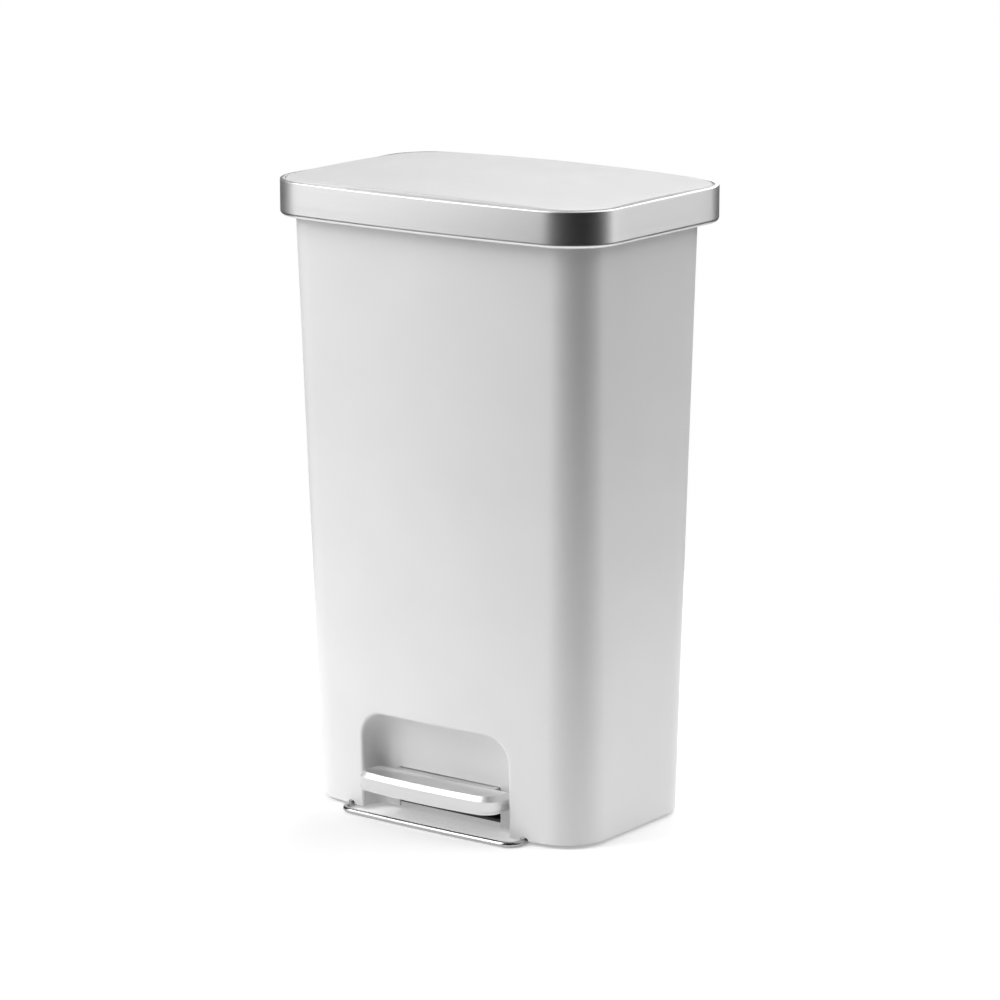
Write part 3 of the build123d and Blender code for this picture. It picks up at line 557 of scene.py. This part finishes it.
def build_wire():
    """The bent wire: bowed front, two corners, two legs that turn up into the base."""
    bm = bmesh.new()
    width, front, radius, bow = WIRE_FRONT
    outline = (width, front, 0.0, radius, radius, bow)
    large, tangent_x = bow_radius(outline)
    right = [(x, front_y(outline, x)) for x in spread(0, tangent_x, WIRE_FRONT_STEPS)]
    start = -90 + math.degrees(math.asin(tangent_x / large))
    corner_y = front + bow + radius
    right += arc(width / 2 - radius, corner_y, radius, start, 0, 12)
    leg_end = WIRE_LEG_END - WIRE_BEND
    right += [(width / 2, y) for y in spread(corner_y, leg_end, WIRE_LEG_STEPS)[1:]]
    path = [Vector((x, y, WIRE_RADIUS)) for x, y in right]
    for y, z in arc(leg_end, WIRE_RADIUS + WIRE_BEND, WIRE_BEND, 270, 360, 8):
        path.append(Vector((width / 2, y, z)))
    path.append(Vector((width / 2, WIRE_LEG_END, WIRE_LEG_TOP)))
    left = [Vector((-p.x, p.y, p.z)) for p in reversed(path[1:])]
    build_tube(bm, left + path, WIRE_RADIUS, WIRE_SIDES)
    return finish_mesh(bm, "anti_tip_wire", "body", "chrome_wire", "anti_tip_bar")


wire = build_wire()
add_bevel(wire, 0.5, 2, 50)


# ---------- Materials ----------
def new_material(name):
    material = bpy.data.materials.new(name)
    material.use_nodes = True
    tree = material.node_tree
    shader = tree.nodes["Principled BSDF"]
    return material, tree, shader


def object_coordinates(tree, scale=(1, 1, 1)):
    coordinates = tree.nodes.new("ShaderNodeTexCoord")
    mapping = tree.nodes.new("ShaderNodeMapping")
    mapping.inputs["Scale"].default_value = scale
    tree.links.new(coordinates.outputs["Object"], mapping.inputs["Vector"])
    return mapping.outputs["Vector"]


def noise(tree, vector, scale, detail=3.0, roughness=0.55):
    made = tree.nodes.new("ShaderNodeTexNoise")
    made.inputs["Scale"].default_value = scale
    made.inputs["Detail"].default_value = detail
    made.inputs["Roughness"].default_value = roughness
    tree.links.new(vector, made.inputs["Vector"])
    return made.outputs["Fac"]


NOISE_LOW, NOISE_HIGH = 0.3, 0.7      # nearly all of a noise lies between these


def ramp(tree, value, low, high):
    """Map a noise between two numbers."""
    made = tree.nodes.new("ShaderNodeMapRange")
    made.inputs["From Min"].default_value = NOISE_LOW
    made.inputs["From Max"].default_value = NOISE_HIGH
    made.inputs["To Min"].default_value = low
    made.inputs["To Max"].default_value = high
    tree.links.new(value, made.inputs["Value"])
    return made.outputs["Result"]


MIX_FACTOR, MIX_FIRST, MIX_SECOND, MIX_RESULT = 0, 6, 7, 2      # a Mix node's colour sockets


def colour_between(tree, noise_value, first, second):
    """A colour that a noise moves from the first to the second."""
    made = tree.nodes.new("ShaderNodeMix")
    made.data_type = "RGBA"
    made.inputs[MIX_FIRST].default_value = (*first, 1)
    made.inputs[MIX_SECOND].default_value = (*second, 1)
    tree.links.new(ramp(tree, noise_value, 0.0, 1.0), made.inputs[MIX_FACTOR])
    return made.outputs[MIX_RESULT]


def darker(colour, share):
    return tuple(share * c for c in colour)


def bump(tree, height, distance, strength=1.0):
    made = tree.nodes.new("ShaderNodeBump")
    made.inputs["Distance"].default_value = distance
    made.inputs["Strength"].default_value = strength
    tree.links.new(height, made.inputs["Height"])
    return made.outputs["Normal"]


# Noise scales are cells per metre, bump depths are metres.
PLASTIC = {"drift": 9.0, "shade": 0.965, "scuffs": 60.0, "grain": 2500.0, "depth": 0.00001}
PLASTIC_IOR = 1.49
STEEL = {"broad": 0.25, "shade": 0.965, "depth": 0.000001, "anisotropy": 0.7}
PLATING = {"cell": 900.0, "shade": 0.85, "smudge": 70.0}
RUBBER = {"dust": 300.0, "grain": 1800.0, "depth": 0.00004}
RUBBER_CLEAN, RUBBER_DUSTY = (0.025, 0.025, 0.026), (0.06, 0.06, 0.062)


def plastic(name, colour, roughness):
    """Moulded plastic: a fine spark-eroded grain, slow colour drift and light scuffs."""
    material, tree, shader = new_material(name)
    place = object_coordinates(tree)
    drift = noise(tree, place, PLASTIC["drift"], 2.0)
    tint = colour_between(tree, drift, colour, darker(colour, PLASTIC["shade"]))
    tree.links.new(tint, shader.inputs["Base Color"])
    scuffs = noise(tree, place, PLASTIC["scuffs"], 6.0, 0.7)
    worn = ramp(tree, scuffs, roughness - 0.05, roughness + 0.07)
    tree.links.new(worn, shader.inputs["Roughness"])
    grain = noise(tree, place, PLASTIC["grain"], 2.0)
    tree.links.new(bump(tree, grain, PLASTIC["depth"], 0.6), shader.inputs["Normal"])
    shader.inputs["IOR"].default_value = PLASTIC_IOR
    return material


def brushed(name, colour, roughness, stretch):
    """Brushed steel: hairline scratches along one direction, with matching anisotropy."""
    material, tree, shader = new_material(name)
    lines = object_coordinates(tree, stretch)
    hair = noise(tree, lines, 1.0, 5.0, 0.65)
    broad = noise(tree, lines, STEEL["broad"], 2.0, 0.5)
    tint = colour_between(tree, hair, colour, darker(colour, STEEL["shade"]))
    tree.links.new(tint, shader.inputs["Base Color"])
    uneven = ramp(tree, broad, roughness - 0.015, roughness + 0.02)
    tree.links.new(uneven, shader.inputs["Roughness"])
    tree.links.new(bump(tree, hair, STEEL["depth"], 0.15), shader.inputs["Normal"])
    shader.inputs["Metallic"].default_value = 1.0
    shader.inputs["Anisotropic"].default_value = STEEL["anisotropy"]
    tangent = tree.nodes.new("ShaderNodeTangent")
    tangent.direction_type = "RADIAL"
    tangent.axis = "Z"
    tree.links.new(tangent.outputs["Tangent"], shader.inputs["Tangent"])
    return material


def plated(name, colour, roughness):
    """Plated steel: a faint crystalline mottle."""
    material, tree, shader = new_material(name)
    place = object_coordinates(tree)
    mottle = noise(tree, place, PLATING["cell"], 3.0)
    tint = colour_between(tree, mottle, colour, darker(colour, PLATING["shade"]))
    tree.links.new(tint, shader.inputs["Base Color"])
    smudge = noise(tree, place, PLATING["smudge"], 4.0)
    uneven = ramp(tree, smudge, 0.7 * roughness, 1.3 * roughness)
    tree.links.new(uneven, shader.inputs["Roughness"])
    shader.inputs["Metallic"].default_value = 1.0
    return material


def rubber(name):
    """Dusty moulded rubber."""
    material, tree, shader = new_material(name)
    place = object_coordinates(tree)
    dust = noise(tree, place, RUBBER["dust"], 5.0, 0.7)
    tint = colour_between(tree, dust, RUBBER_CLEAN, RUBBER_DUSTY)
    tree.links.new(tint, shader.inputs["Base Color"])
    tree.links.new(ramp(tree, dust, 0.62, 0.85), shader.inputs["Roughness"])
    grain = noise(tree, place, RUBBER["grain"], 2.0)
    tree.links.new(bump(tree, grain, RUBBER["depth"]), shader.inputs["Normal"])
    return material


finishes = {
    "white_plastic": plastic("white_plastic_finish", (0.81, 0.81, 0.81), 0.38),
    "lid_plastic": plastic("lid_plastic_finish", (0.76, 0.76, 0.76), 0.42),
    "rim_plastic": plastic("rim_plastic_finish", (0.55, 0.56, 0.57), 0.45),
    "brushed_steel": brushed("brushed_steel_finish", (0.76, 0.76, 0.765), 0.36, (12, 12, 5000)),
    "pedal_steel": brushed("pedal_steel_finish", (0.76, 0.76, 0.765), 0.42, (40, 5000, 5000)),
    # The chrome wire's base colour is kept darker than bright chrome. This is a painted dark
    # reflection: it stands in for the dark surroundings the real wire reflects.
    "chrome_wire": plated("chrome_wire_painted_dark_reflection_finish", (0.5, 0.5, 0.505), 0.24),
    "zinc_steel": plated("zinc_steel_finish", (0.55, 0.56, 0.57), 0.36),
    "dark_plastic": plastic("dark_plastic_finish", (0.03, 0.03, 0.032), 0.45),
    "nylon": plastic("nylon_finish", (0.70, 0.69, 0.64), 0.5),
    "rubber": rubber("rubber_finish"),
}
slot_of = {part["node"]: part["material_slot"] for part in frame["record"]["subparts"]}
for name, cad in frame["nodes"].items():
    cad.data.materials.clear()
    cad.data.materials.append(finishes[slot_of[name]])
for piece, slot in (
    (body, "white_plastic"),
    (floor_piece, "white_plastic"),
    (band, "brushed_steel"),
    (panel, "lid_plastic"),
    (wire, "chrome_wire"),
):
    piece.data.materials.clear()
    piece.data.materials.append(finishes[slot])


# ---------- Stage, light and camera ----------
STAGE_HALF = 950.0
STAGE_DEPTH = 20.0
STAGE_COLOUR = (0.85, 0.85, 0.85, 1)
STAGE_ROUGHNESS = 0.9
STAGE_GLOW = 0.35
WHITE = (1, 1, 1, 1)


def add_stage():
    """A pale floor sheet that glows a little."""
    bm = bmesh.new()
    box_into(bm, (-STAGE_HALF, -STAGE_HALF, -STAGE_DEPTH), (STAGE_HALF, STAGE_HALF, 0))
    stage = add_object(bm, "stage_floor")
    material, _, shader = new_material("stage_paint")
    shader.inputs["Roughness"].default_value = STAGE_ROUGHNESS
    shader.inputs["Base Color"].default_value = STAGE_COLOUR
    shader.inputs["Emission Color"].default_value = WHITE
    shader.inputs["Emission Strength"].default_value = STAGE_GLOW
    stage.data.materials.append(material)


def direction(azimuth, elevation):
    """Unit vector from the object; azimuth 0 is the front and 90 the right side."""
    turn, rise = math.radians(azimuth), math.radians(elevation)
    level = math.cos(rise)
    return Vector((math.sin(turn) * level, -math.cos(turn) * level, math.sin(rise)))


TARGET = Vector((0, 0, 0.33))


def aim(made, azimuth, elevation, distance):
    """Place a light or camera at a distance from the target, facing it."""
    away = direction(azimuth, elevation)
    made.location = TARGET + distance * away
    made.rotation_euler = away.to_track_quat("Z", "Y").to_euler()
    bpy.context.scene.collection.objects.link(made)


def area_light(name, azimuth, elevation, distance, size, power):
    """A soft box that faces the object."""
    light = bpy.data.lights.new(name, "AREA")
    light.shape = "RECTANGLE"
    light.size, light.size_y = size
    light.energy = power
    aim(bpy.data.objects.new(name, light), azimuth, elevation, distance)


def add_world():
    """A world that gives no light and is white where the camera sees it."""
    world = bpy.data.worlds.new("studio")
    world.use_nodes = True
    tree = world.node_tree
    background = tree.nodes["Background"]
    background.inputs["Strength"].default_value = 0.0
    background.inputs["Color"].default_value = WHITE
    seen = tree.nodes.new("ShaderNodeBackground")
    seen.inputs["Color"].default_value = WHITE
    path = tree.nodes.new("ShaderNodeLightPath")
    choose = tree.nodes.new("ShaderNodeMixShader")
    tree.links.new(path.outputs["Is Camera Ray"], choose.inputs[0])
    tree.links.new(background.outputs[0], choose.inputs[1])
    tree.links.new(seen.outputs[0], choose.inputs[2])
    tree.links.new(choose.outputs[0], tree.nodes["World Output"].inputs["Surface"])
    bpy.context.scene.world = world


CAMERA_AZIMUTH = 36.33
CAMERA_ELEVATION = 12.71
CAMERA_DISTANCE = 4.2892
CAMERA_LENS = 151.25
CAMERA_SENSOR = 36.0
CAMERA_SHIFT = (0.00335, -0.0085)
CAMERA_FAR = 50.0


def add_camera():
    camera = bpy.data.cameras.new("camera")
    camera.sensor_width = CAMERA_SENSOR
    camera.lens = CAMERA_LENS
    camera.shift_x, camera.shift_y = CAMERA_SHIFT
    camera.clip_end = CAMERA_FAR
    eye = bpy.data.objects.new("camera", camera)
    aim(eye, CAMERA_AZIMUTH, CAMERA_ELEVATION, CAMERA_DISTANCE)
    bpy.context.scene.camera = eye


add_stage()
add_world()
area_light("front_left", -50, 15, 2.6, (1.4, 2.2), 16)
area_light("front", -25, 20, 2.8, (1.0, 2.2), 21.5)
area_light("high_left", -45, 45, 2.6, (1.4, 1.6), 32)
area_light("right", 130, 15, 2.6, (1.4, 2.2), 18)
area_light("high_right", 125, 45, 2.6, (1.4, 1.6), 20)
area_light("high_back", 190, 50, 2.6, (2.2, 1.4), 40)
add_camera()
bpy.context.scene.view_settings.view_transform = "Standard"
